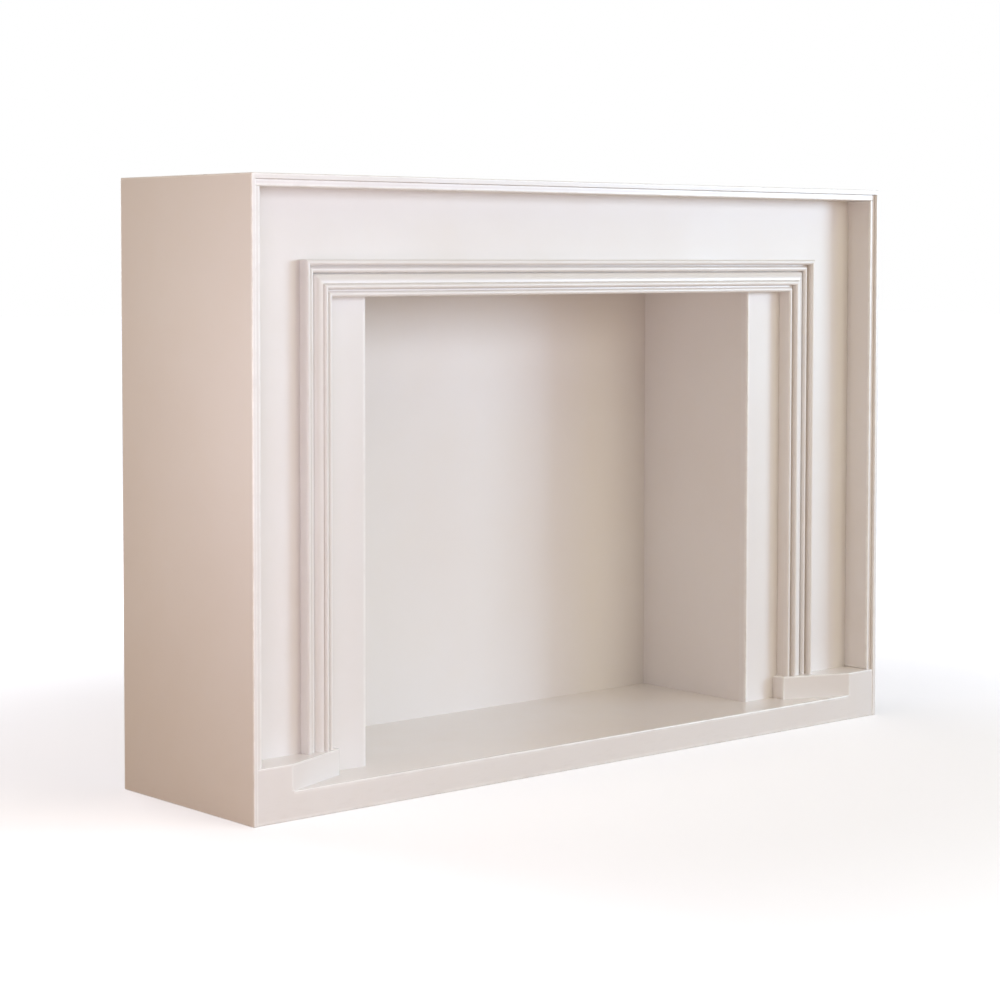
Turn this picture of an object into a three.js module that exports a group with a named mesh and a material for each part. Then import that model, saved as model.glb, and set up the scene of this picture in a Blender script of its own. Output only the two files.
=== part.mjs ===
import * as THREE from 'three';

// A free-standing fireplace surround in painted board, in millimetres.
// The front faces -Y, +Z is up, and the middle of the underside is at the origin.
// Places are worked out as s, in from the outer face of a side, d, back from the front, and z.

const overallWidth = 1520;
const overallDepth = 385;
const overallHeight = 1050;

// Outer boards. Their front edges are the outer band of the frame.
const skinThickness = 9;

// Boards inside the skins. Their front edges are the inner band, and their faces the returns.
const carcassThickness = 12;
const carcassSetBack = 6.5;

// Recessed front, measured to its face.
const panelSetBack = 64;
const panelThickness = 18;

// Low rail under the hearth, and the hearth itself.
const hearthHeight = 48.5;
const hearthThickness = 18;
const railThickness = 18;
const railSetBack = 1;

// Corner blocks: level with the rail, then slanting back to a nose in front of the moulding.
const blockHeight = 44.5;
const blockLevelWidth = 69;
const blockPastMoulding = 11.7;
const blockNoseForward = 10;

// Place of the moulding round the opening, from the outer faces to its outer edge.
const mouldingFromSide = 140;
const mouldingFromTop = 138;
const mitreGap = 0.4;
const glueGap = 0.3;

// Outer moulding: two beads with a groove between them. Heights are in front of the recessed face.
const outerBeadRadius = 4.6;
const outerBeadTop = 21;
const outerGrooveWidth = 3.2;
const outerGrooveTop = 6;
const secondBeadRadius = 4.6;
const secondBeadTop = 12;
const secondBeadLedge = 1.4;
const ledgeTop = 2;

// Inner moulding: a broad round, a bead, a groove and a bead at the edge of the opening.
const roundWidth = 16.4;
const roundTop = 13;
const quirkWidth = 0.8;
const quirkDrop = 1.4;
const middleBeadRadius = 4.3;
const middleBeadTop = 16.5;
const innerGrooveWidth = 4.2;
const innerGrooveTop = 5;
const edgeBeadRadius = 4.35;
const edgeBeadTop = 10;

// Slips and firebox, set back inside the moulding.
const slipVisibleWidth = 89.5;
const slipBehindPanel = 18;
const slipThickness = 18;
const fireboxThickness = 18;
const ceilingAboveHead = 18;
const backThickness = 18;

const curveSteps = 12;

const halfWidth = overallWidth / 2;
const frontFace = -overallDepth / 2;
const blockTop = hearthHeight + blockHeight;
const frameWidth = skinThickness + carcassThickness;
const backFace = overallDepth - backThickness;
const panelBack = panelSetBack + panelThickness;
const slipBack = panelBack + slipThickness;
const mouldingTop = overallHeight - mouldingFromTop;
const outerProfile = outerMouldingProfile();
const innerProfile = innerMouldingProfile();
const outerWidth = widthOf(outerProfile);
const innerOffset = outerWidth + glueGap;
const openingEdge = mouldingFromSide + innerOffset + widthOf(innerProfile);
const openingHead = overallHeight - mouldingFromTop - innerOffset - widthOf(innerProfile);
const fireboxFace = openingEdge + slipVisibleWidth;
const ceilingUnderside = openingHead + ceilingAboveHead;

function widthOf(profile) {
  return Math.max(...profile.map((point) => point[0]));
}

// Points of a half-round bead from its near foot over its top to its far foot.
function bead(centre, radius, top) {
  const points = [];
  for (let i = 0; i <= curveSteps; i += 1) {
    const angle = Math.PI * (1 - i / curveSteps);
    points.push([centre + radius * Math.cos(angle), top - radius + radius * Math.sin(angle)]);
  }
  return points;
}

// Profiles run from the outer edge of the moulding towards the opening, as [across, forward].
function outerMouldingProfile() {
  const grooveStart = 2 * outerBeadRadius;
  const grooveEnd = grooveStart + outerGrooveWidth;
  const ledgeStart = grooveEnd + 2 * secondBeadRadius;
  const edge = ledgeStart + secondBeadLedge;
  return [
    [0, 0],
    ...bead(outerBeadRadius, outerBeadRadius, outerBeadTop),
    [grooveStart, outerGrooveTop],
    [grooveEnd, outerGrooveTop],
    ...bead(grooveEnd + secondBeadRadius, secondBeadRadius, secondBeadTop),
    [ledgeStart, ledgeTop],
    [edge, ledgeTop],
    [edge, 0],
  ];
}

function innerMouldingProfile() {
  const points = [[0, 0]];
  for (let i = 0; i <= curveSteps; i += 1) {
    const angle = (Math.PI / 2) * (i / curveSteps);
    const across = roundWidth * (1 - Math.cos(angle));
    points.push([across, ledgeTop + (roundTop - ledgeTop) * Math.sin(angle)]);
  }
  const middleStart = roundWidth + quirkWidth;
  const grooveStart = middleStart + 2 * middleBeadRadius;
  const edgeStart = grooveStart + innerGrooveWidth;
  points.push(
    [roundWidth, roundTop - quirkDrop],
    [middleStart, roundTop - quirkDrop],
    ...bead(middleStart + middleBeadRadius, middleBeadRadius, middleBeadTop),
    [grooveStart, innerGrooveTop],
    [edgeStart, innerGrooveTop],
    ...bead(edgeStart + edgeBeadRadius, edgeBeadRadius, edgeBeadTop),
    [edgeStart + 2 * edgeBeadRadius, 0],
  );
  return points;
}

// A closed solid between two rings that are both the given outline put in place.
function solidBetween(outline, placeStart, placeEnd) {
  const flat = outline.map(([a, b]) => new THREE.Vector2(a, b));
  const turned = THREE.ShapeUtils.area(flat) < 0;
  const ordered = turned ? [...outline].reverse() : outline;
  const contour = turned ? [...flat].reverse() : flat;
  const count = ordered.length;
  const rings = [...ordered.map(placeStart), ...ordered.map(placeEnd)];
  const faces = [];
  for (const [a, b, c] of THREE.ShapeUtils.triangulateShape(contour, [])) {
    const area = THREE.ShapeUtils.area([contour[a], contour[b], contour[c]]);
    const [p, q, r] = area > 0 ? [a, b, c] : [a, c, b];
    faces.push([r, q, p], [count + p, count + q, count + r]);
  }
  for (let i = 0; i < count; i += 1) {
    const next = (i + 1) % count;
    faces.push([i, next, count + next], [i, count + next, count + i]);
  }
  const corners = faces.map((face) => face.map((index) => new THREE.Vector3(...rings[index])));
  const volume = corners.reduce((sum, [a, b, c]) => sum + a.dot(b.clone().cross(c)), 0);
  const positions = corners.flatMap((face) => {
    const facing = volume > 0 ? face : [face[0], face[2], face[1]];
    return facing.flatMap((corner) => corner.toArray());
  });
  const geometry = new THREE.BufferGeometry();
  geometry.setAttribute('position', new THREE.Float32BufferAttribute(positions, 3));
  geometry.computeVertexNormals();
  return geometry;
}

// A board with square edges from s, d and z ranges, on the left side of the object.
function board([s0, s1], [d0, d1], [z0, z1]) {
  const outline = [[s0, d0], [s1, d0], [s1, d1], [s0, d1]];
  const place = (z) => ([s, d]) => [s - halfWidth, frontFace + d, z];
  return solidBetween(outline, place(z0), place(z1));
}

// The same piece on the other side.
function mirrored(geometry) {
  const copy = geometry.clone();
  const position = copy.getAttribute('position');
  for (let i = 0; i < position.count; i += 3) {
    const corners = [0, 2, 1].map((k) => new THREE.Vector3().fromBufferAttribute(position, i + k));
    corners.forEach((corner, k) => position.setXYZ(i + k, -corner.x, corner.y, corner.z));
  }
  copy.computeVertexNormals();
  return copy;
}

function frontPanel() {
  const inner = halfWidth - openingEdge;
  const outer = halfWidth - frameWidth;
  const top = overallHeight - frameWidth;
  const outline = [
    [-outer, hearthHeight], [-inner, hearthHeight], [-inner, openingHead], [inner, openingHead],
    [inner, hearthHeight], [outer, hearthHeight], [outer, top], [-outer, top],
  ];
  const place = (d) => ([x, z]) => [x, frontFace + d, z];
  return solidBetween(outline, place(panelSetBack), place(panelBack));
}

// The board under the carcass top, cut back at the foot to clear the corner block.
function carcassSide() {
  const top = overallHeight - frameWidth;
  const outline = [
    [carcassSetBack, blockTop], [panelSetBack, blockTop], [panelSetBack, hearthHeight],
    [backFace, hearthHeight], [backFace, top], [carcassSetBack, top],
  ];
  const place = (s) => ([d, z]) => [s - halfWidth, frontFace + d, z];
  return solidBetween(outline, place(skinThickness), place(frameWidth));
}

function cornerBlock() {
  const noseEnd = openingEdge + blockPastMoulding;
  const outline = [
    [skinThickness, railSetBack],
    [skinThickness + blockLevelWidth, railSetBack],
    [noseEnd, panelSetBack - blockNoseForward],
    [noseEnd, panelBack],
    [openingEdge, panelBack],
    [openingEdge, panelSetBack],
    [skinThickness, panelSetBack],
  ];
  const place = (z) => ([s, d]) => [s - halfWidth, frontFace + d, z];
  return solidBetween(outline, place(hearthHeight), place(blockTop));
}

// An upright of the moulding: square on the corner block, mitred at the head.
function mouldingLeg(profile, offset) {
  const outerEdge = mouldingFromSide + offset - halfWidth;
  const panelFace = frontFace + panelSetBack;
  const foot = ([t, q]) => [outerEdge + t, panelFace - q, blockTop];
  const head = ([t, q]) => [outerEdge + t, panelFace - q, mouldingTop - offset - t - mitreGap];
  return solidBetween(profile, foot, head);
}

// The level length of the moulding, mitred at both ends.
function mouldingHead(profile, offset) {
  const end = (side) => ([t, q]) => [
    side * (halfWidth - mouldingFromSide - offset - t),
    frontFace + panelSetBack - q,
    mouldingTop - offset - t,
  ];
  return solidBetween(profile, end(-1), end(1));
}

const framePaint = { color: '#e4dbd6', roughness: 0.5 };
const panelPaint = { color: '#e9e1de', roughness: 0.52 };
const mouldingPaint = { color: '#ece5e1', roughness: 0.46 };
const fireboxPaint = { color: '#e2d7d1', roughness: 0.56 };
const hearthPaint = { color: '#e3dad4', roughness: 0.48 };

const group = new THREE.Group();
group.name = 'fireplace_surround';

function add(name, geometry, paint) {
  const material = new THREE.MeshStandardMaterial({ ...paint, metalness: 0 });
  const mesh = new THREE.Mesh(geometry, material);
  mesh.name = name;
  group.add(mesh);
}

function addPair(name, geometry, paint) {
  add(`${name}_left`, geometry, paint);
  add(`${name}_right`, mirrored(geometry), paint);
}

const underSkin = overallHeight - skinThickness;
const betweenSkins = [skinThickness, overallWidth - skinThickness];

addPair('side_skin', board([0, skinThickness], [0, overallDepth], [0, underSkin]), framePaint);
add('top_skin', board([0, overallWidth], [0, overallDepth], [underSkin, overallHeight]), framePaint);
addPair('carcass_side', carcassSide(), framePaint);
add(
  'carcass_top',
  board(betweenSkins, [carcassSetBack, backFace], [underSkin - carcassThickness, underSkin]),
  framePaint,
);
add('back_panel', board(betweenSkins, [backFace, overallDepth], [0, underSkin]), fireboxPaint);

add('front_panel', frontPanel(), panelPaint);
addPair('outer_moulding', mouldingLeg(outerProfile, 0), mouldingPaint);
add('outer_moulding_top', mouldingHead(outerProfile, 0), mouldingPaint);
addPair('inner_moulding', mouldingLeg(innerProfile, innerOffset), mouldingPaint);
add('inner_moulding_top', mouldingHead(innerProfile, innerOffset), mouldingPaint);

const slipReach = [openingEdge - slipBehindPanel, fireboxFace];
const wallBack = fireboxFace - fireboxThickness;
const wallRise = [hearthHeight, ceilingUnderside];
const ceilingRise = [ceilingUnderside, ceilingUnderside + fireboxThickness];
addPair('slip', board(slipReach, [panelBack, slipBack], wallRise), panelPaint);
addPair('firebox_wall', board([wallBack, fireboxFace], [slipBack, backFace], wallRise), fireboxPaint);
add(
  'firebox_ceiling',
  board([wallBack, overallWidth - wallBack], [panelBack, backFace], ceilingRise),
  fireboxPaint,
);

const railBack = railSetBack + railThickness;
const hearthRise = [hearthHeight - hearthThickness, hearthHeight];
add('hearth_board', board(betweenSkins, [railBack, backFace], hearthRise), hearthPaint);
add('plinth_rail', board(betweenSkins, [railSetBack, railBack], [0, hearthHeight]), hearthPaint);
addPair('corner_block', cornerBlock(), hearthPaint);

export default group;
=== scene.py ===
import bpy
import numpy as np
from mathutils import Matrix, Vector


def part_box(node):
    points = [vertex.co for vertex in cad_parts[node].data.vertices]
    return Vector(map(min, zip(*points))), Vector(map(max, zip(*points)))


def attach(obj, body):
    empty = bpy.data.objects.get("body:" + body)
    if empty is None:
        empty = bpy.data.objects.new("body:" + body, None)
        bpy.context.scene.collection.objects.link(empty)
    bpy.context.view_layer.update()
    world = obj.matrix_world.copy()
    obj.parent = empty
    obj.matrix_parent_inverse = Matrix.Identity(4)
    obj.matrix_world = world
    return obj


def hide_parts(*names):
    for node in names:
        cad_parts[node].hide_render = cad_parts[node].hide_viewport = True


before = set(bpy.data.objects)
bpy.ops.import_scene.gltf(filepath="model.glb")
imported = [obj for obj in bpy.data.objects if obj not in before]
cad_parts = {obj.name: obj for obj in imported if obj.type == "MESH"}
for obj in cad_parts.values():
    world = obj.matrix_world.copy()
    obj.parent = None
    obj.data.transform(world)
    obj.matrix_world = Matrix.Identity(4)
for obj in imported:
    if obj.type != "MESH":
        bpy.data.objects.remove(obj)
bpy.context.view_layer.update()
scene = bpy.context.scene
print("frame loaded with", len(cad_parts), "nodes")

# Places and sizes below are in millimetres: x to the right, y back from the middle, z up from the floor.


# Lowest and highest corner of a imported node.
def cornersOf(node):
    low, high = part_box(node)
    return np.array(low) * 1000, np.array(high) * 1000


halfWidth = cornersOf("top_skin")[1][0]
blockTop = cornersOf("corner_block_left")[1][2]
panelFace = cornersOf("front_panel")[0][1]
openingHalf = -cornersOf("inner_moulding_left")[1][0]
openingHead = cornersOf("inner_moulding_top")[0][2]


# Puts a closed grid into a mesh. Each row of points is a ring, the rings run from one end to the other, and
# both ends are closed with one flat face. The rubbed-arris mask is 1 on a rubbed arris, whose paint is made
# whiter, wear and a painted highlight together. sunk is 1 in a crevice, whose paint is made darker, dust
# and painted shade together. flow is how far a point is along the piece and round it.
def addPiece(name, rings, normals, wornAndLit, sunk, flow):
    rows, around = rings.shape[:2]
    index = np.arange(rows * around).reshape(rows, around)
    beside = np.roll(index, -1, axis=1)
    quads = np.stack([index[:-1], beside[:-1], beside[1:], index[1:]], axis=-1).reshape(-1, 4)
    faces = quads.tolist() + [index[0, ::-1].tolist(), index[-1].tolist()]
    mesh = bpy.data.meshes.new(name)
    mesh.from_pydata((rings.reshape(-1, 3) / 1000).tolist(), [], faces)
    mesh.polygons.foreach_set("use_smooth", np.ones(len(faces), bool))
    for label, values in (("wornAndLit", wornAndLit), ("sunk", sunk)):
        layer = mesh.attributes.new(label, "FLOAT", "POINT")
        layer.data.foreach_set("value", values.astype(np.float32).ravel())
    layer = mesh.attributes.new("flow", "FLOAT_VECTOR", "POINT")
    layer.data.foreach_set("vector", flow.astype(np.float32).ravel())
    mesh.normals_split_custom_set_from_vertices(normals.reshape(-1, 3).tolist())
    piece = bpy.data.objects.new(name, mesh)
    scene.collection.objects.link(piece)
    return piece


boardGrid = {
    "arrisSteps": 5,  # flats in a quarter turn
    "leastRadius": 0.03,  # an inset corner is never sharper
    "apart": 0.1,  # least gap between an inset corner and the point beside it
    "longestReach": 5.0,  # how far from an arris its shading ends
    "capShare": 0.8,  # share of that reach on an end face
    "rubbedOver": 0.5,  # an arris with a smaller radius isn't rubbed or given a painted highlight
    "leastTurn": 0.3,  # a corner that turns by less, in radians, isn't rubbed or highlighted either
}


# Twice the area of an outline, positive where it runs anticlockwise.
def turning(outline):
    ahead = np.roll(outline, -1, axis=0)
    return np.sum(outline[:, 0] * ahead[:, 1] - outline[:, 1] * ahead[:, 0])


# An outline with its corners eased, once for each station. A point of an eased corner is the corner, moved
# in along its mitre until the arc's centre is reached, then out again by the radius along the normal. The
# normal turns evenly from one side of the corner to the other. Inset moves the whole outline in. Each corner
# also has a point on both sides of its arc, so that the flat face between two corners stays flat. That point
# is never nearer to the corner than the inset corner is, because the outline would cross itself there.
def easedOutline(corners, radii, inset, reach, arcSteps):
    before = corners - np.roll(corners, 1, axis=0)
    before /= np.linalg.norm(before, axis=1, keepdims=True)
    after = np.roll(before, -1, axis=0)
    across = before[:, 0] * after[:, 1] - before[:, 1] * after[:, 0]
    turn = np.arctan2(across, np.sum(before * after, axis=1))
    normalIn = np.stack([before[:, 1], -before[:, 0]], axis=1)
    normalOut = np.roll(normalIn, -1, axis=0)
    mitre = (normalIn + normalOut) / (1 + np.sum(normalIn * normalOut, axis=1, keepdims=True))
    angle = turn[:, None] * np.linspace(0, 1, arcSteps + 1)
    arcNormal = np.stack([
        normalIn[:, None, 0] * np.cos(angle) - normalIn[:, None, 1] * np.sin(angle),
        normalIn[:, None, 0] * np.sin(angle) + normalIn[:, None, 1] * np.cos(angle),
    ], axis=-1)
    inset = inset[:, None]
    radii = np.broadcast_to(radii, (len(inset), len(corners)))
    reduced = np.where(turn > 0, np.maximum(radii - inset, boardGrid["leastRadius"]), -(radii + inset))
    centreIn = np.where(turn > 0, inset + reduced, -radii)
    tangent = radii * np.tan(np.abs(turn) / 2)
    arc = (corners[:, None] - mitre[:, None] * centreIn[..., None, None]
           + reduced[..., None, None] * arcNormal)
    insetCorner = inset * np.tan(np.maximum(turn, 0) / 2)
    beside = np.maximum(tangent + reach, insetCorner + boardGrid["apart"])[..., None]
    first = corners - before * beside - normalIn * inset[..., None]
    last = corners + after * beside - normalOut * inset[..., None]
    points = np.concatenate([first[:, :, None], arc, last[:, :, None]], axis=2)
    normals = np.concatenate([normalIn[:, None], arcNormal, normalOut[:, None]], axis=1)
    onArc = np.concatenate([[0.0], np.ones(arcSteps + 1), [0.0]])
    rounded = onArc[None, :] * (np.abs(turn) > boardGrid["leastTurn"])[:, None]
    return points.reshape(len(inset), -1, 2), normals.reshape(-1, 2), rounded.ravel()


# A board: an eased outline carried from one end to the other along an axis. Near each end the outline moves
# in by r(1 - cos t) while it goes out by r sin t, a quarter circle of the end's own radius.
# An outline along z is given as (x, y), along x as (y, z), and along y as (z, x).
def easedBoard(name, corners, radii, along, ends, endRadii, easing=None):
    corners, radii = np.array(corners, float), np.array(radii, float)
    if turning(corners) < 0:
        corners, radii = corners[::-1], radii[::-1]
    thin = np.min(np.linalg.norm(corners - np.roll(corners, 1, axis=0), axis=1))
    reach = min(boardGrid["longestReach"], thin / 2 - radii.max() - 2 * boardGrid["apart"])
    capReach = reach * boardGrid["capShare"]
    quarter = np.linspace(0, np.pi / 2, boardGrid["arrisSteps"] + 1)
    rubbedOver = boardGrid["rubbedOver"]
    low, high = ends
    lowRadius, highRadius = endRadii
    alongReach = min(capReach, (high - low - lowRadius - highRadius) / 3)
    middle = np.array([]) if easing is None else easing["stations"]
    inset = np.concatenate([
        [lowRadius + capReach], lowRadius * (1 - np.sin(quarter)), [0.0], 0 * middle, [0.0],
        highRadius * (1 - np.cos(quarter)), [highRadius + capReach],
    ])
    height = np.concatenate([
        [low], low + lowRadius * (1 - np.cos(quarter)), [low + lowRadius + alongReach], middle,
        [high - highRadius - alongReach], high - highRadius * (1 - np.sin(quarter)), [high],
    ])
    tilt = np.concatenate([
        [-np.pi / 2], quarter - np.pi / 2, [0.0], 0 * middle, [0.0], quarter, [np.pi / 2],
    ])
    # The rounded arrises at the ends go into the same mask, painted whiter: wear and a painted highlight.
    endWornAndLit = np.concatenate([
        [0.0], np.full(len(quarter), float(lowRadius > rubbedOver)), [0.0], 0 * middle, [0.0],
        np.full(len(quarter), float(highRadius > rubbedOver)), [0.0],
    ])
    if easing is not None:
        radii = easing["radii"](height)
    ring, flatNormal, rounded = easedOutline(corners, radii, inset, reach, boardGrid["arrisSteps"])
    arcRadius = np.repeat(np.broadcast_to(radii, (len(height), len(corners))),
                          boardGrid["arrisSteps"] + 3, axis=1)
    onSide = np.abs(np.cos(tilt)) > 0.01  # a flat end isn't rubbed or highlighted
    wornAndLit = np.maximum(rounded * (arcRadius > rubbedOver) * onSide[:, None], endWornAndLit[:, None])
    rings = np.concatenate([ring, np.broadcast_to(height[:, None, None], ring.shape[:2] + (1,))], axis=2)
    normals = np.concatenate([
        flatNormal * np.cos(tilt)[:, None, None],
        np.broadcast_to(np.sin(tilt)[:, None, None], ring.shape[:2] + (1,)),
    ], axis=2)
    rings, normals = (np.roll(grid, {"z": 0, "x": 1, "y": 2}[along], axis=2) for grid in (rings, normals))
    step = np.linalg.norm(np.diff(ring, axis=1, append=ring[:, :1]), axis=2)
    far = np.broadcast_to(height[:, None], step.shape)
    flow = np.stack([far, np.cumsum(step, axis=1), 0 * step], axis=2)
    return addPiece(name, rings, normals, wornAndLit, 0 * wornAndLit, flow)


# Points of a half-round or a part of one, as [across, forward].
def arcPoints(centre, radius, start, end, steps=40):
    angle = np.radians(np.linspace(start, end, steps))
    return np.stack([centre[0] + radius[0] * np.cos(angle), centre[1] + radius[1] * np.sin(angle)], axis=1)


# A coat of paint over a milled profile: the outline is measured off in equal short steps, and each point
# becomes the mean of its neighbours, weighted by a bell curve as wide as the coat, which rounds every corner.
def coated(profile, spacing, coat):
    closed = np.concatenate([profile, profile[:1]])
    run = np.concatenate([[0.0], np.cumsum(np.linalg.norm(np.diff(closed, axis=0), axis=1))])
    count = int(run[-1] / spacing)
    at = np.linspace(0, run[-1], count, endpoint=False)
    even = np.stack([np.interp(at, run, closed[:, 0]), np.interp(at, run, closed[:, 1])], axis=1)
    offset = np.arange(-mouldingGrid["coatReach"], mouldingGrid["coatReach"] + 1)
    weight = np.exp(-0.5 * (offset * spacing / coat) ** 2)
    shifted = np.stack([np.roll(even, -int(k), axis=0) for k in offset])
    return np.tensordot(weight / weight.sum(), shifted, axes=1)


# A moulding: its profile carried in a straight line, each point from its own start to its own end, which
# cuts the mitres. The normal is the profile's tangent turned by a right angle, and how sharply it turns says
# where the paint is made whiter, wear and a painted highlight on the crests, and where it is made darker,
# dust and painted shade in the hollows.
def carriedMoulding(name, profile, startOf, endOf, placed, along, stations):
    flat = placed(profile)
    if turning(flat) < 0:
        profile, flat = profile[::-1], flat[::-1]
    tangent = np.roll(flat, -1, axis=0) - np.roll(flat, 1, axis=0)
    tangent /= np.linalg.norm(tangent, axis=1, keepdims=True)
    bend = np.roll(tangent, -2, axis=0) - np.roll(tangent, 2, axis=0)
    curve = tangent[:, 0] * bend[:, 1] - tangent[:, 1] * bend[:, 0]
    share = np.linspace(0, 1, stations)[:, None]
    start, end = startOf(profile[:, 0]), endOf(profile[:, 0])
    far = start + (end - start) * share
    rings = np.concatenate([np.broadcast_to(flat, (stations,) + flat.shape), far[..., None]], axis=2)
    sideways = np.stack([tangent[:, 1], -tangent[:, 0], 0 * curve], axis=1)
    normals = np.broadcast_to(sideways, rings.shape)
    # Crests are painted whiter, wear and a painted highlight; hollows darker, dust and painted shade.
    rubbedAndLit = np.clip(curve * mouldingGrid["rubGain"] - mouldingGrid["rubFrom"], 0, 1)
    wornAndLit = np.broadcast_to(rubbedAndLit, far.shape)
    sunk = np.broadcast_to(np.clip(-curve * mouldingGrid["dustAndShadeGain"], 0, 1), far.shape)
    run = np.cumsum(np.linalg.norm(flat - np.roll(flat, 1, axis=0), axis=1))
    flow = np.stack([far, np.broadcast_to(run, far.shape), 0 * far], axis=2)
    rings, normals = (np.roll(grid, {"z": 0, "x": 1}[along], axis=2) for grid in (rings, normals))
    return addPiece(name, rings, normals, wornAndLit, sunk, flow)


# Puts a finished piece on the body in place of its node.
def finished(piece, node, material):
    piece.data.materials.append(material)
    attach(piece, "root")
    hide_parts(node)
    return piece


# sRGB hex to linear light: v / 12.92 where v is small, else ((v + 0.055) / 1.055) to the power 2.4.
def linearColour(hexCode):
    value = np.array([int(hexCode[i:i + 2], 16) for i in (1, 3, 5)]) / 255
    light = np.where(value <= 0.04045, value / 12.92, ((value + 0.055) / 1.055) ** 2.4)
    return tuple(float(v) for v in light) + (1.0,)


# Adds a node, sets its own settings and its inputs' values, and links its inputs.
def addNode(tree, kind, settings=None, links=None):
    node = tree.nodes.new(kind)
    for key, value in (settings or {}).items():
        if isinstance(key, int) or key in node.inputs:
            node.inputs[key].default_value = value
        else:
            setattr(node, key, value)
    for key, source in (links or {}).items():
        tree.links.new(source, node.inputs[key])
    return node


# Paint on fibreboard or wood. Low, wide noise gives the slight unevenness of tone that a hand-painted white
# has. The stipple is the skin that a foam roller leaves, about 1.5 mm from top to top. Brush marks run along
# a moulding, about 1 mm apart. Both are drawn at least twice as coarse, as they would be finer than a pixel.
def paintedFinish(name, look):
    material = bpy.data.materials.new(name)
    material.use_nodes = True
    tree = material.node_tree
    tree.nodes.clear()
    place = addNode(tree, "ShaderNodeTexCoord").outputs["Object"]
    wornAndLit = addNode(tree, "ShaderNodeAttribute", {"attribute_name": "wornAndLit"}).outputs["Fac"]
    sunk = addNode(tree, "ShaderNodeAttribute", {"attribute_name": "sunk"}).outputs["Fac"]

    # Tone: two soft noises, one about as wide as a forearm is long and one as wide as a hand.
    wide = addNode(tree, "ShaderNodeTexNoise", {
        "Scale": 1000 / look["wideTone"], "Detail": 2.0, "Roughness": 0.5,
    }, {"Vector": place})
    hand = addNode(tree, "ShaderNodeTexNoise", {
        "Scale": 1000 / look["handTone"], "Detail": 3.0, "Roughness": 0.6,
    }, {"Vector": place})
    wideShare = addNode(tree, "ShaderNodeMapRange", {
        "From Min": 0.35, "From Max": 0.68, "To Max": look["toneSpread"],
    }, {"Value": wide.outputs["Fac"]})
    handShare = addNode(tree, "ShaderNodeMapRange", {
        "From Min": 0.42, "From Max": 0.72, "To Max": look["toneSpread"] * look["handShare"],
    }, {"Value": hand.outputs["Fac"]})
    toned = addNode(tree, "ShaderNodeMix", {
        "data_type": "RGBA", 6: linearColour(look["colour"]), 7: linearColour(look["softColour"]),
    }, {0: wideShare.outputs["Result"]})
    mottled = addNode(tree, "ShaderNodeMix", {"data_type": "RGBA", 7: linearColour(look["warmColour"])},
                      {0: handShare.outputs["Result"], 6: toned.outputs[2]})

    # Rubbed arrises are painted whiter, wear and a painted highlight together. The attribute is broken
    # up a little by noise, so that the rub wanders along the edge.
    rubAndHighlightNoise = addNode(tree, "ShaderNodeTexNoise", {
        "Scale": 1000 / look["rubAndHighlightSize"], "Detail": 4.0, "Roughness": 0.65,
    }, {"Vector": place})
    rubAndHighlightBreak = addNode(tree, "ShaderNodeMapRange", {
        "From Min": 0.25, "From Max": 0.55, "To Max": look["rubAndHighlight"],
    }, {"Value": rubAndHighlightNoise.outputs["Fac"]})
    rubAndHighlight = addNode(tree, "ShaderNodeMath", {"operation": "MULTIPLY"}, {0: wornAndLit, 1: rubAndHighlightBreak.outputs["Result"]})
    rubbedAndLit = addNode(tree, "ShaderNodeMix", {"data_type": "RGBA", 7: linearColour(look["rubAndHighlightColour"])},
                     {0: rubAndHighlight.outputs[0], 6: mottled.outputs[2]})

    # Crevices are painted darker and yellower: partly a little dust and thicker paint, partly painted shade
    # where the crevice is shaded.
    sunkShare = addNode(tree, "ShaderNodeMath", {"operation": "MULTIPLY", 1: look["dustAndShade"]}, {0: sunk})
    dustyAndShaded = addNode(tree, "ShaderNodeMix", {"data_type": "RGBA", 7: linearColour(look["dustAndShadeColour"])},
                    {0: sunkShare.outputs[0], 6: rubbedAndLit.outputs[2]})

    # Scuffs near the floor, where shoes and a broom reach: fine streaks that fade out with height.
    apart = addNode(tree, "ShaderNodeSeparateXYZ", links={"Vector": place})
    low = addNode(tree, "ShaderNodeMapRange", {
        "From Min": look["scuffReach"] / 1000, "From Max": 0.002, "To Max": look["scuff"],
    }, {"Value": apart.outputs["Z"]})
    streakPlace = addNode(tree, "ShaderNodeMapping", {"Scale": (1.0, 1.0, 4.5)}, {"Vector": place})
    streak = addNode(tree, "ShaderNodeTexNoise", {
        "Scale": 1000 / look["scuffSize"], "Detail": 5.0, "Roughness": 0.7,
    }, {"Vector": streakPlace.outputs["Vector"]})
    streakBreak = addNode(tree, "ShaderNodeMapRange", {"From Min": 0.52, "From Max": 0.7},
                          {"Value": streak.outputs["Fac"]})
    scuff = addNode(tree, "ShaderNodeMath", {"operation": "MULTIPLY"},
                    {0: low.outputs["Result"], 1: streakBreak.outputs["Result"]})
    scuffed = addNode(tree, "ShaderNodeMix", {"data_type": "RGBA", 7: linearColour(look["scuffColour"])},
                      {0: scuff.outputs[0], 6: dustyAndShaded.outputs[2]})

    # Sheen: it wanders a little with the thickness of the coat, and a rubbed arris is glossier.
    sheenNoise = addNode(tree, "ShaderNodeTexNoise", {
        "Scale": 1000 / look["sheenSize"], "Detail": 4.0, "Roughness": 0.6,
    }, {"Vector": place})
    sheen = addNode(tree, "ShaderNodeMapRange", {
        "From Min": 0.3, "From Max": 0.7, "To Min": look["roughness"] - look["sheenSpread"],
        "To Max": look["roughness"] + look["sheenSpread"],
    }, {"Value": sheenNoise.outputs["Fac"]})
    polish = addNode(tree, "ShaderNodeMath", {"operation": "MULTIPLY", 1: -look["rubPolish"]}, {0: wornAndLit})
    roughness = addNode(tree, "ShaderNodeMath", {"operation": "ADD"},
                        {0: sheen.outputs["Result"], 1: polish.outputs[0]})

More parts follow.
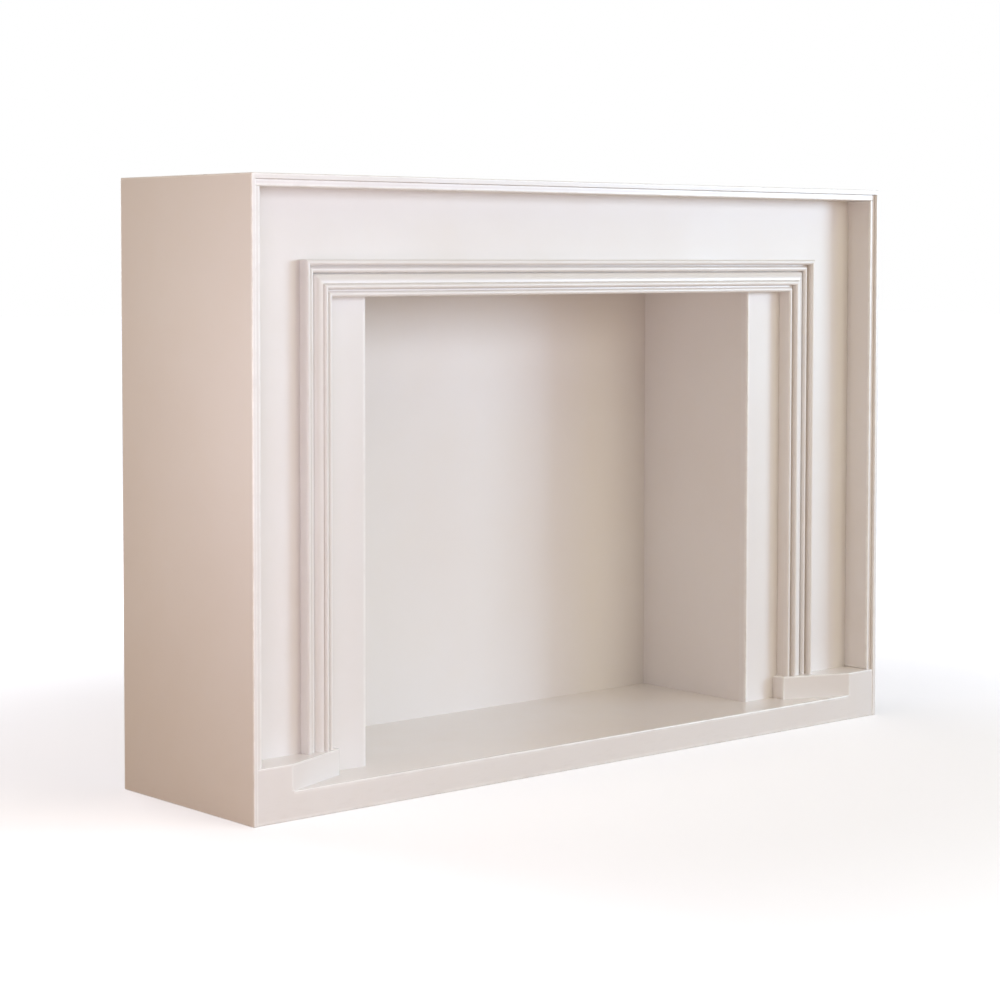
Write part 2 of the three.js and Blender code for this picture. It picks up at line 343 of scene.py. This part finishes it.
    # Relief: soft waves of the board under the coat, then the skin of the coat itself.
    waves = addNode(tree, "ShaderNodeTexNoise", {"Scale": 1000 / look["waveSize"], "Detail": 1.0},
                    {"Vector": place})
    waveBump = addNode(tree, "ShaderNodeBump", {"Strength": 1.0, "Distance": look["waveHeight"] / 1000},
                       {"Height": waves.outputs["Fac"]})
    if look["brushed"]:
        flow = addNode(tree, "ShaderNodeAttribute", {"attribute_name": "flow"}).outputs["Vector"]
        drawn = addNode(tree, "ShaderNodeMapping", {"Scale": (0.02, 1.0, 1.0)}, {"Vector": flow})
        skin = addNode(tree, "ShaderNodeTexNoise", {
            "Scale": 1 / look["skinSize"], "Detail": 3.0, "Roughness": 0.6,
        }, {"Vector": drawn.outputs["Vector"]})
    else:
        skin = addNode(tree, "ShaderNodeTexNoise", {
            "Scale": 1000 / look["skinSize"], "Detail": 2.0, "Roughness": 0.55,
        }, {"Vector": place})
    skinBump = addNode(tree, "ShaderNodeBump", {"Strength": 1.0, "Distance": look["skinHeight"] / 1000},
                       {"Height": skin.outputs["Fac"], "Normal": waveBump.outputs["Normal"]})
    shader = addNode(tree, "ShaderNodeBsdfPrincipled", {
        "IOR": look["ior"], "Metallic": 0.0, "Coat Weight": look["coat"],
        "Coat Roughness": look["coatRoughness"],
    }, {
        "Base Color": scuffed.outputs[2], "Roughness": roughness.outputs[0],
        "Normal": skinBump.outputs["Normal"],
    })
    addNode(tree, "ShaderNodeOutputMaterial", links={"Surface": shader.outputs["BSDF"]})
    return material


# Satin enamel sprayed or rolled on fibreboard: a warm white with a soft sheen and thin bright arrises.
# Arrises are painted whiter, wear and a painted highlight together, and crevices darker, dust and painted
# shade together.
frameLook = {
    "colour": "#f2eeeb", "softColour": "#eee8e4", "warmColour": "#eee7df", "toneSpread": 0.7,
    "rubAndHighlight": 0.8, "rubAndHighlightColour": "#fffdfa", "dustAndShade": 0.5, "dustAndShadeColour": "#cdbfb2", "scuff": 0.08,
    "scuffColour": "#c4b9af", "roughness": 0.42, "sheenSpread": 0.05, "waveHeight": 0.16,
    "skinSize": 3.2, "skinHeight": 0.02, "brushed": False, "ior": 1.5, "coat": 0.25, "coatRoughness": 0.2,
    "wideTone": 420, "handTone": 85, "handShare": 0.35, "rubAndHighlightSize": 34, "scuffSize": 26, "scuffReach": 55,
    "sheenSize": 160, "waveSize": 130, "rubPolish": 0.12,
}
# The recessed front has the same enamel, rolled, so that it is a shade flatter.
panelLook = {**frameLook, "roughness": 0.46, "coat": 0.08, "skinSize": 3.0, "skinHeight": 0.024}
# Enamel brushed along a milled wooden moulding: fine marks run its length. The quirks are painted darker,
# thicker paint and dust with painted shade, and the crests whiter, wear with a painted highlight.
mouldingLook = {
    **frameLook, "colour": "#f4f0ed", "softColour": "#f0ebe7", "roughness": 0.34, "coat": 0.3, "rubAndHighlight": 1.0,
    "skinSize": 2.6, "skinHeight": 0.015, "brushed": True, "waveHeight": 0.05,
}
# Eggshell paint inside the firebox: flatter than the enamel, with a more open roller skin.
fireboxLook = {
    **frameLook, "colour": "#f0ebe7", "softColour": "#ece5e0", "roughness": 0.54, "skinSize": 3.6,
    "skinHeight": 0.035, "scuff": 0.06, "coat": 0.0,
}
# Harder enamel on the hearth and its blocks, with more scuffs where things are set down, and arrises
# painted a little whiter, wear and a painted highlight together.
hearthLook = {**frameLook, "roughness": 0.34, "rubAndHighlight": 0.9, "scuff": 0.1, "skinHeight": 0.018, "coat": 0.4}

satinEnamelOnFibreboard = paintedFinish("satinEnamelOnFibreboard", frameLook)
rolledEnamelOnFibreboard = paintedFinish("rolledEnamelOnFibreboard", panelLook)
brushedEnamelOnMilledWood = paintedFinish("brushedEnamelOnMilledWood", mouldingLook)
eggshellOnFibreboard = paintedFinish("eggshellOnFibreboard", fireboxLook)
hardEnamelOnFibreboard = paintedFinish("hardEnamelOnFibreboard", hearthLook)
print("finishes made:", len(bpy.data.materials))


frameBoards = {
    "arris": 1.5,  # outer edges, which catch the light
    "bandArris": 2.4,  # inner band, on the side of the recess
    "grooveArris": 1.5,  # inner band, against the outer band
    "footArris": 1.8,  # keeps a thin shadow along the floor
    "joint": 0.06,  # edges that meet another board under the paint
}


def makeFrame():
    arris, joint = frameBoards["arris"], frameBoards["joint"]
    for side, node in ((-1, "side_skin_left"), (1, "side_skin_right")):
        (x0, y0, z0), (x1, y1, z1) = cornersOf(node)
        outline = [(x0, y0), (x1, y0), (x1, y1), (x0, y1)]
        outer = arris if side < 0 else joint
        inner = joint if side < 0 else arris
        finished(easedBoard("sidePanelLeft" if side < 0 else "sidePanelRight", outline,
                            [arris, arris, inner, outer], "z", (z0, z1), (frameBoards["footArris"], joint)),
                 node, satinEnamelOnFibreboard)
    (x0, y0, z0), (x1, y1, z1) = cornersOf("top_skin")
    finished(easedBoard("shelfTop", [(x0, y0), (x1, y0), (x1, y1), (x0, y1)], [arris] * 4, "z", (z0, z1),
                        (joint, arris)),
             "top_skin", satinEnamelOnFibreboard)

    band, groove = frameBoards["bandArris"], frameBoards["grooveArris"]
    (x0, y0, z0), (x1, y1, z1) = cornersOf("carcass_top")
    finished(easedBoard("frameLiningTop", [(y0, z0), (y1, z0), (y1, z1), (y0, z1)],
                        [band, joint, joint, groove], "x", (x0, x1), (joint, joint)),
             "carcass_top", satinEnamelOnFibreboard)
    for side, node in ((-1, "carcass_side_left"), (1, "carcass_side_right")):
        (x0, y0, z0), (x1, y1, z1) = cornersOf(node)
        outline = [(y0, blockTop), (panelFace, blockTop), (panelFace, z0), (y1, z0), (y1, z1), (y0, z1)]
        ends = (groove, band) if side < 0 else (band, groove)
        lining = easedBoard("frameLiningLeft" if side < 0 else "frameLiningRight", outline, [joint] * 6,
                            "x", (x0, x1), ends)
        finished(lining, node, satinEnamelOnFibreboard)
    print("frame boards made")


makeFrame()


recessBoards = {
    "joint": 0.12,
    "slipArris": 2.4,  # bright upright edge on both sides of the firebox
    "backArris": 0.9,  # upright outer edges of the back
    "backFoot": 0.6,  # edge of the back along the floor
}


# A board with a rectangular section, which fills its node's box apart from the eased edges.
def plainBoard(name, node, material, along, radii, endRadii):
    (x0, y0, z0), (x1, y1, z1) = cornersOf(node)
    outline, ends = {
        "z": ([(x0, y0), (x1, y0), (x1, y1), (x0, y1)], (z0, z1)),
        "x": ([(y0, z0), (y1, z0), (y1, z1), (y0, z1)], (x0, x1)),
    }[along]
    return finished(easedBoard(name, outline, radii, along, ends, endRadii), node, material)


def makeRecess():
    joint, slipArris = recessBoards["joint"], recessBoards["slipArris"]
    (x0, y0, z0), (x1, y1, z1) = cornersOf("front_panel")
    outline = [(z0, x0), (z1, x0), (z1, x1), (z0, x1), (z0, openingHalf), (openingHead, openingHalf),
               (openingHead, -openingHalf), (z0, -openingHalf)]
    finished(easedBoard("recessedFront", outline, [joint] * 8, "y", (y0, y1), (joint, joint)),
             "front_panel", rolledEnamelOnFibreboard)
    plainBoard("slipLeft", "slip_left", rolledEnamelOnFibreboard, "z",
               [joint, slipArris, joint, joint], (joint, joint))
    plainBoard("slipRight", "slip_right", rolledEnamelOnFibreboard, "z",
               [slipArris, joint, joint, joint], (joint, joint))
    for name, node in (("fireboxWallLeft", "firebox_wall_left"), ("fireboxWallRight", "firebox_wall_right"),
                       ("fireboxCeiling", "firebox_ceiling")):
        plainBoard(name, node, eggshellOnFibreboard, "z", [joint] * 4, (joint, joint))
    backArris = recessBoards["backArris"]
    plainBoard("backPanel", "back_panel", eggshellOnFibreboard, "z",
               [joint, joint, backArris, backArris], (recessBoards["backFoot"], joint))
    print("recess and firebox made")


makeRecess()


# Each Top is how far that part stands out from the recessed front.
outerMoulding = {
    "fromSide": 140, "fromTop": 138,
    "beadRadius": 4.6, "beadTop": 21, "grooveWidth": 3.2, "grooveTop": 6,
    "secondRadius": 4.6, "secondTop": 12, "ledge": 1.4, "ledgeTop": 2,
}
innerMoulding = {
    "glueGap": 0.3, "ledgeTop": 2, "roundWidth": 16.4, "roundTop": 13, "quirkWidth": 0.8, "quirkDrop": 1.4,
    "middleRadius": 4.3, "middleTop": 16.5, "grooveWidth": 4.2, "grooveTop": 5,
    "edgeRadius": 4.35, "edgeTop": 10,
}
mouldingGrid = {
    "spacing": 0.3, "stations": 9, "mitreLine": 0.06,
    "coat": 0.4, "coatReach": 8,  # width of the bell curve, and how many steps it takes in on each side
    # Crests are painted whiter, wear with a painted highlight; hollows darker, dust with painted shade.
    "rubGain": 1.2, "rubFrom": 0.25, "dustAndShadeGain": 1.6,  # how soon a turn of the surface is whitened or darkened
}


# Two beads with a groove between them. The tall one is the outer edge of the moulding.
def outerProfile(size):
    r, s = size["beadRadius"], size["secondRadius"]
    grooveStart = 2 * r
    grooveEnd = grooveStart + size["grooveWidth"]
    ledgeStart = grooveEnd + 2 * s
    edge = ledgeStart + size["ledge"]
    return np.concatenate([
        [[0, 0]],
        arcPoints((r, size["beadTop"] - r), (r, r), 180, 0),
        [[grooveStart, size["grooveTop"]], [grooveEnd, size["grooveTop"]]],
        arcPoints((grooveEnd + s, size["secondTop"] - s), (s, s), 180, 0),
        [[ledgeStart, size["ledgeTop"]], [edge, size["ledgeTop"]], [edge, 0]],
    ])


# A broad quarter round, a bead, a groove and a bead at the edge of the opening.
def innerProfile(size):
    m, e = size["middleRadius"], size["edgeRadius"]
    middleStart = size["roundWidth"] + size["quirkWidth"]
    grooveStart = middleStart + 2 * m
    edgeStart = grooveStart + size["grooveWidth"]
    quirk = size["roundTop"] - size["quirkDrop"]
    return np.concatenate([
        [[0, 0]],
        arcPoints((size["roundWidth"], size["ledgeTop"]),
                  (size["roundWidth"], size["roundTop"] - size["ledgeTop"]), 180, 90),
        [[size["roundWidth"], quirk], [middleStart, quirk]],
        arcPoints((middleStart + m, size["middleTop"] - m), (m, m), 180, 0),
        [[grooveStart, size["grooveTop"]], [edgeStart, size["grooveTop"]]],
        arcPoints((edgeStart + e, size["edgeTop"] - e), (e, e), 180, 0),
        [[edgeStart + 2 * e, 0]],
    ])


def makeMoulding(label, node, profile, offset):
    soft = coated(profile, mouldingGrid["spacing"], mouldingGrid["coat"])
    line = mouldingGrid["mitreLine"]
    edge = halfWidth - outerMoulding["fromSide"] - offset
    top = cornersOf("top_skin")[1][2] - outerMoulding["fromTop"] - offset
    for side, name in ((-1, "Left"), (1, "Right")):
        piece = carriedMoulding(
            label + name, soft, lambda t: 0 * t + blockTop, lambda t: top - t - line,
            lambda p: np.stack([side * (edge - p[:, 0]), panelFace - p[:, 1]], axis=1),
            "z", mouldingGrid["stations"])
        finished(piece, node + "_" + name.lower(), brushedEnamelOnMilledWood)
    piece = carriedMoulding(
        label + "Top", soft, lambda t: t - edge, lambda t: edge - t,
        lambda p: np.stack([panelFace - p[:, 1], top - p[:, 0]], axis=1), "x", mouldingGrid["stations"])
    finished(piece, node + "_top", brushedEnamelOnMilledWood)


outerShape = outerProfile(outerMoulding)
makeMoulding("outerMoulding", "outer_moulding", outerShape, 0)
makeMoulding("innerMoulding", "inner_moulding", innerProfile(innerMoulding),
             outerShape[:, 0].max() + innerMoulding["glueGap"])
print("mouldings made")


hearthBoards = {
    "joint": 0.1,
    "railArris": 2.2,  # bright front edge of the hearth
    "railEaseOver": 10,  # the front edge is square under the blocks, and eases over this length beside them
    "footArris": 2.0,  # keeps a thin shadow along the floor
    "blockLevelWidth": 69, "blockPastMoulding": 11.7, "blockNoseForward": 10,
    "blockArris": 1.7,  # top edge
    "noseArris": 2.6,  # upright edge beside the firebox
    "bendArris": 0.7,  # where the front starts to slant
    "outerArris": 0.4,  # upright edge against the side panel
}


def makeHearth():
    joint, size = hearthBoards["joint"], hearthBoards
    plainBoard("hearth", "hearth_board", hardEnamelOnFibreboard, "x", [joint] * 4,
               (joint, joint))

    (x0, y0, z0), (x1, y1, z1) = cornersOf("plinth_rail")
    levelEnd = x1 - size["blockLevelWidth"]
    edge = np.linspace(0, size["railEaseOver"], 7)
    stations = np.concatenate([-levelEnd + edge - 0.5, levelEnd - edge[::-1] + 0.5])

    # The front top radius goes smoothly from the joint's to the rail's own beside each block.
    def railRadii(along):
        share = np.clip((levelEnd + 0.5 - np.abs(along)) / size["railEaseOver"], 0, 1)
        eased = joint + (size["railArris"] - joint) * share * share * (3 - 2 * share)
        plain = np.full_like(eased, joint)
        return np.stack([np.full_like(eased, size["footArris"]), plain, plain, eased], axis=1)

    rail = easedBoard("hearthRail", [(y0, z0), (y1, z0), (y1, z1), (y0, z1)],
                      [size["footArris"], joint, joint, size["railArris"]], "x", (x0, x1), (joint, joint),
                      {"stations": stations, "radii": railRadii})
    finished(rail, "plinth_rail", hardEnamelOnFibreboard)

    for side, node in ((-1, "corner_block_left"), (1, "corner_block_right")):
        (x0, y0, z0), (x1, y1, z1) = cornersOf(node)
        outer = max(abs(x0), abs(x1))
        levelInner = outer - size["blockLevelWidth"]
        nose = openingHalf - size["blockPastMoulding"]
        plan = [(outer, y0), (levelInner, y0), (nose, panelFace - size["blockNoseForward"]), (nose, y1),
                (openingHalf, y1), (openingHalf, panelFace), (outer, panelFace)]
        radii = [size["outerArris"], size["bendArris"], size["noseArris"], joint, joint, joint, joint]
        block = easedBoard("cornerBlockLeft" if side < 0 else "cornerBlockRight",
                           [(side * x, y) for x, y in plan], radii, "z", (z0, z1),
                           (joint, size["blockArris"]))
        finished(block, node, hardEnamelOnFibreboard)
    print("hearth, rail and blocks made")


makeHearth()


# Soft cool light from the front right, warm light off the floor and a wall on the left, and a light behind
# for the back. Power is in watts, and the lights can't be seen by the camera.
studio = {
    "floorSize": 60000,
    "floorColour": "#f6f5f4", "floorBounce": "#cdbba9",
    "glowColour": "#e9f0fd", "nearGlow": 0.38, "farGlow": 1.0,  # keeps the floor pale to the horizon
    "glowFrom": 700, "glowTo": 2600,
    "backdrop": "#ffffff",
    "fill": "#ffeedd", "fillStrength": 0.25,
    "lights": [
        {"name": "windowKey", "place": (7000, -5850, 1750), "aim": (200, -100, 500), "size": (2500, 2500),
         "power": 286, "colour": "#d1ebff"},
        {"name": "windowBeside", "place": (5050, -6300, 1900), "aim": (200, -100, 500), "size": (2600, 2400),
         "power": 90, "colour": "#c1d1ff"},
        {"name": "frontSoftbox", "place": (1370, -4800, 1700), "aim": (200, -100, 500), "size": (2200, 1800),
         "power": 56.5, "colour": "#fffaef"},
        {"name": "overheadSoftbox", "place": (300, -2500, 3300), "aim": (0, 0, 300), "size": (2500, 1800),
         "power": 12, "colour": "#fffbce"},
        {"name": "ceilingSoftbox", "place": (0, -300, 3600), "aim": (0, -100, 0), "size": (2500, 1200),
         "power": 11.5, "colour": "#ffecd2"},
        {"name": "leftWallBounce", "place": (-2600, -200, 1200), "aim": (-760, 0, 500), "size": (1000, 1400),
         "power": 6.5, "colour": "#ffdba8"},
        {"name": "leftReflector", "place": (-1400, -900, 620), "aim": (-760, -50, 620), "size": (400, 820),
         "power": 3.1, "colour": "#f6ecff"},
        {"name": "sideStrip", "place": (-1700, -420, 760), "aim": (-760, -170, 760), "size": (250, 560),
         "spread": 90, "power": 0.62, "colour": "#f6f8ff"},
        {"name": "backSoftbox", "place": (-500, 4200, 1800), "aim": (0, 0, 500), "size": (3000, 2000),
         "power": 75, "colour": "#f6f7ff"},
    ],
}


def makeStudio():
    half = studio["floorSize"] / 2000
    mesh = bpy.data.meshes.new("studioFloor")
    corners = [(-half, -half, 0), (half, -half, 0), (half, half, 0), (-half, half, 0)]
    mesh.from_pydata(corners, [], [(0, 1, 2, 3)])
    floor = bpy.data.objects.new("studioFloor", mesh)
    scene.collection.objects.link(floor)
    paint = bpy.data.materials.new("paleStudioFloor")
    paint.use_nodes = True
    tree = paint.node_tree
    tree.nodes.clear()
    seen = addNode(tree, "ShaderNodeLightPath").outputs["Is Camera Ray"]
    matt = addNode(tree, "ShaderNodeBsdfPrincipled",
                   {"Base Color": linearColour(studio["floorBounce"]), "Roughness": 0.9})
    away = addNode(tree, "ShaderNodeVectorMath", {"operation": "LENGTH"},
                   {0: addNode(tree, "ShaderNodeTexCoord").outputs["Object"]})
    glow = addNode(tree, "ShaderNodeMapRange", {
        "interpolation_type": "SMOOTHSTEP",
        "From Min": studio["glowFrom"] / 1000, "From Max": studio["glowTo"] / 1000,
        "To Min": studio["nearGlow"], "To Max": studio["farGlow"],
    }, {"Value": away.outputs["Value"]})
    pale = addNode(tree, "ShaderNodeBsdfPrincipled", {
        "Base Color": linearColour(studio["floorColour"]), "Roughness": 0.9,
        "Emission Color": linearColour(studio["glowColour"]),
    }, {"Emission Strength": glow.outputs["Result"]})
    shown = addNode(tree, "ShaderNodeMixShader", links={0: seen, 1: matt.outputs[0], 2: pale.outputs[0]})
    addNode(tree, "ShaderNodeOutputMaterial", links={"Surface": shown.outputs[0]})
    mesh.materials.append(paint)

    world = bpy.data.worlds.new("studioWorld")
    world.use_nodes = True
    scene.world = world
    tree = world.node_tree
    tree.nodes.clear()
    seen = addNode(tree, "ShaderNodeLightPath").outputs["Is Camera Ray"]
    fill = addNode(tree, "ShaderNodeBackground",
                   {"Color": linearColour(studio["fill"]), "Strength": studio["fillStrength"]})
    backdrop = addNode(tree, "ShaderNodeBackground",
                       {"Color": linearColour(studio["backdrop"]), "Strength": 1.0})
    mixed = addNode(tree, "ShaderNodeMixShader",
                    links={0: seen, 1: fill.outputs["Background"], 2: backdrop.outputs["Background"]})
    addNode(tree, "ShaderNodeOutputWorld", links={"Surface": mixed.outputs["Shader"]})

    for spec in studio["lights"]:
        light = bpy.data.lights.new(spec["name"], "AREA")
        light.shape = "RECTANGLE"
        light.size, light.size_y = spec["size"][0] / 1000, spec["size"][1] / 1000
        light.energy = spec["power"]
        light.color = linearColour(spec["colour"])[:3]
        light.spread = np.radians(spec.get("spread", 180))
        lamp = bpy.data.objects.new(spec["name"], light)
        scene.collection.objects.link(lamp)
        lamp.visible_camera = False
        place, aim = Vector(spec["place"]) / 1000, Vector(spec["aim"]) / 1000
        turned = (aim - place).to_track_quat("-Z", "Y").to_matrix().to_4x4()
        lamp.matrix_world = Matrix.Translation(place) @ turned
    scene.view_settings.view_transform = "Standard"
    print("floor and lights made")


makeStudio()


# The camera that fits the photograph's edges. It looks down by the pitch and to the right of the front's
# normal by the yaw. The shift moves the frame as far as the level look needs.
viewpoint = {
    "place": (-3038.2, -3419.8, 913.9), "yaw": 40.942, "pitch": 3.0, "roll": 0.076,
    "lens": 89.07, "sensor": 36, "shift": -0.1118, "farthest": 200,
}


def makeCamera():
    data = bpy.data.cameras.new("photographView")
    data.sensor_width, data.lens, data.shift_y = viewpoint["sensor"], viewpoint["lens"], viewpoint["shift"]
    data.clip_end = viewpoint["farthest"]
    camera = bpy.data.objects.new("photographView", data)
    scene.collection.objects.link(camera)
    yaw, pitch, roll = np.radians([viewpoint["yaw"], viewpoint["pitch"], viewpoint["roll"]])
    camera.matrix_world = (
        Matrix.Translation(Vector(viewpoint["place"]) / 1000) @ Matrix.Rotation(-yaw, 4, "Z")
        @ Matrix.Rotation(np.pi / 2 - pitch, 4, "X") @ Matrix.Rotation(roll, 4, "Z"))
    scene.camera = camera
    print("camera made")


makeCamera()
